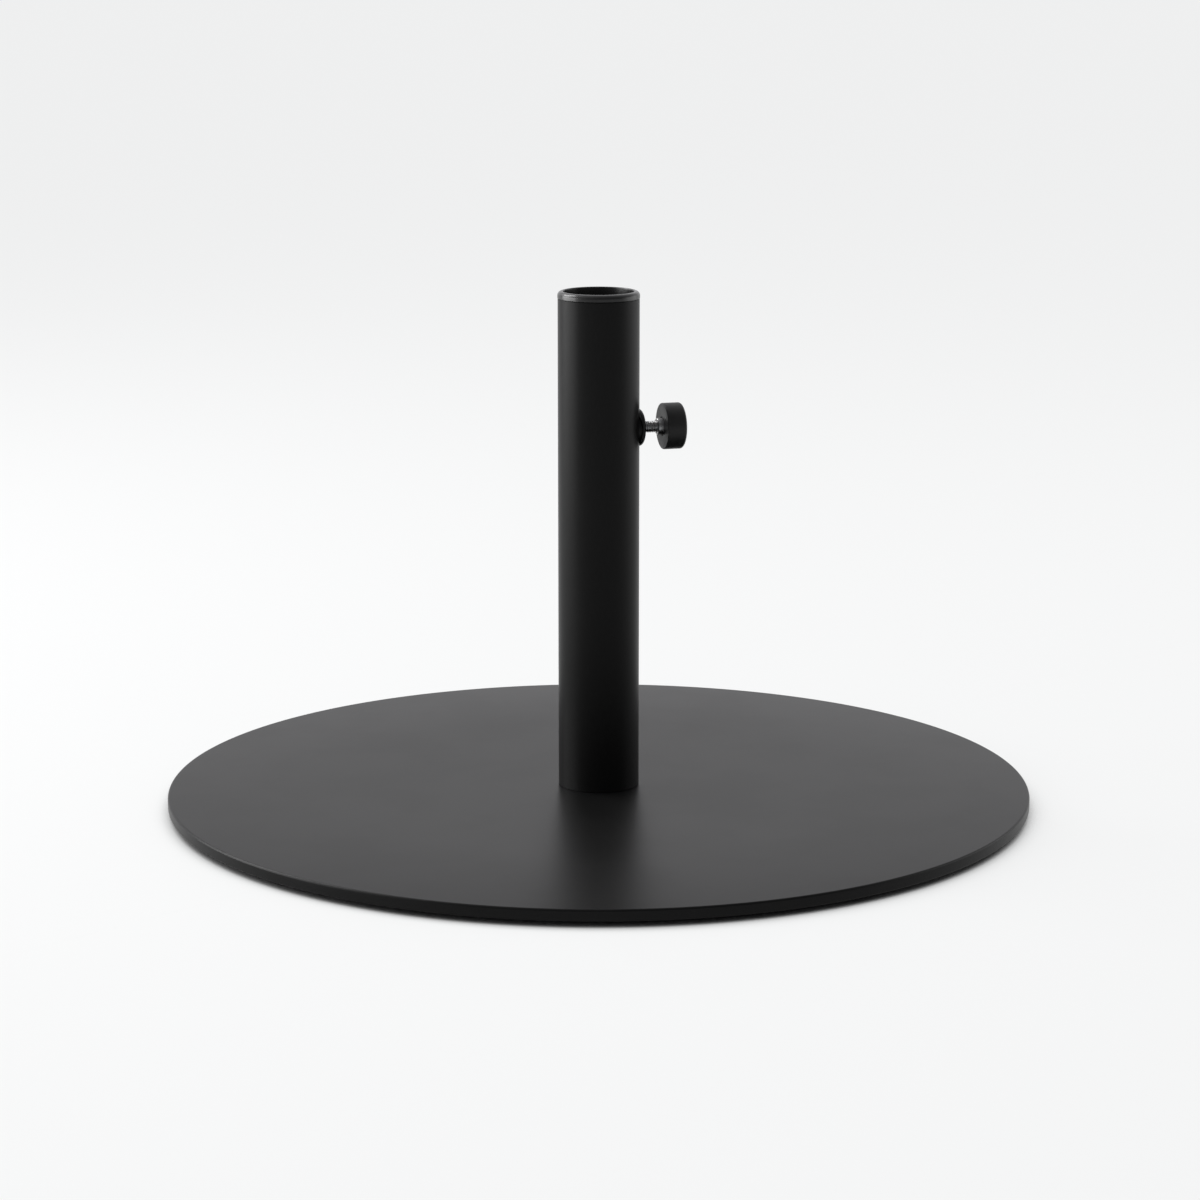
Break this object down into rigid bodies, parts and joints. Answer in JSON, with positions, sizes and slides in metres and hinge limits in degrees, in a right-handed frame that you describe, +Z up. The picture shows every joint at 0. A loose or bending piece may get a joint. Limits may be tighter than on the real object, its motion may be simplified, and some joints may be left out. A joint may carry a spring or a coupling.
{
  "type": "parasol base",
  "caption": "Weighted base for a garden parasol: round steel plate on rubber pads, upright tube with a plastic collar, and a side thumbscrew that clamps the pole.",
  "frame": {"origin": "centre of the footprint, on the floor under the foot pads", "axes": "+Z up along the tube's axis, -Y towards the viewer in front, +X to the viewer's right; the clamp screw points to +X, turned 15.7 degrees towards +Y"},
  "size_m": [0.6, 0.6, 0.358],
  "materials": {
    "powder_coated_steel": "black satin powder coat, fine texture",
    "collar_plastic": "black moulded plastic, satin",
    "knob_plastic": "black moulded plastic, fine matt",
    "zinc_plated_steel": "bright zinc plate",
    "stem_screw_steel": "black oxide",
    "nylon": "natural nylon",
    "pad_rubber": "matt black rubber"
  },
  "bodies": {
    "base": {"base_plate": "powder_coated_steel", "upright_tube": "powder_coated_steel", "tube_end_disc": "powder_coated_steel", "collar": "collar_plastic", "screw_boss": "powder_coated_steel", "foot_pad_1": "pad_rubber", "foot_pad_2": "pad_rubber", "foot_pad_3": "pad_rubber", "foot_pad_4": "pad_rubber", "foot_pad_5": "pad_rubber", "foot_pad_6": "pad_rubber", "stem_screw_1": "stem_screw_steel", "stem_screw_2": "stem_screw_steel", "stem_screw_3": "stem_screw_steel", "stem_screw_4": "stem_screw_steel"},
    "tip": {"screw_tip": "nylon"},
    "clamp": {"clamp_screw": "zinc_plated_steel", "knob_insert": "zinc_plated_steel", "knob": "knob_plastic"}
  },
  "joints": [
    {"name": "clamp_feed", "type": "slide", "parent": "base", "child": "tip", "axis": [0.9627, 0.2706, 0], "range_m": [-0.01001, 0.00251]},
    {"name": "clamp_turn", "type": "hinge", "parent": "tip", "child": "clamp", "pos_m": [0.02349, 0.0066, 0.263], "axis": [0.9627, 0.2706, 0], "range_deg": [-2880, 720]}
  ],
  "couplings": [
    {"joint": "clamp_feed", "follows": "clamp_turn", "m_per_rad": 0.00019894}
  ]
}
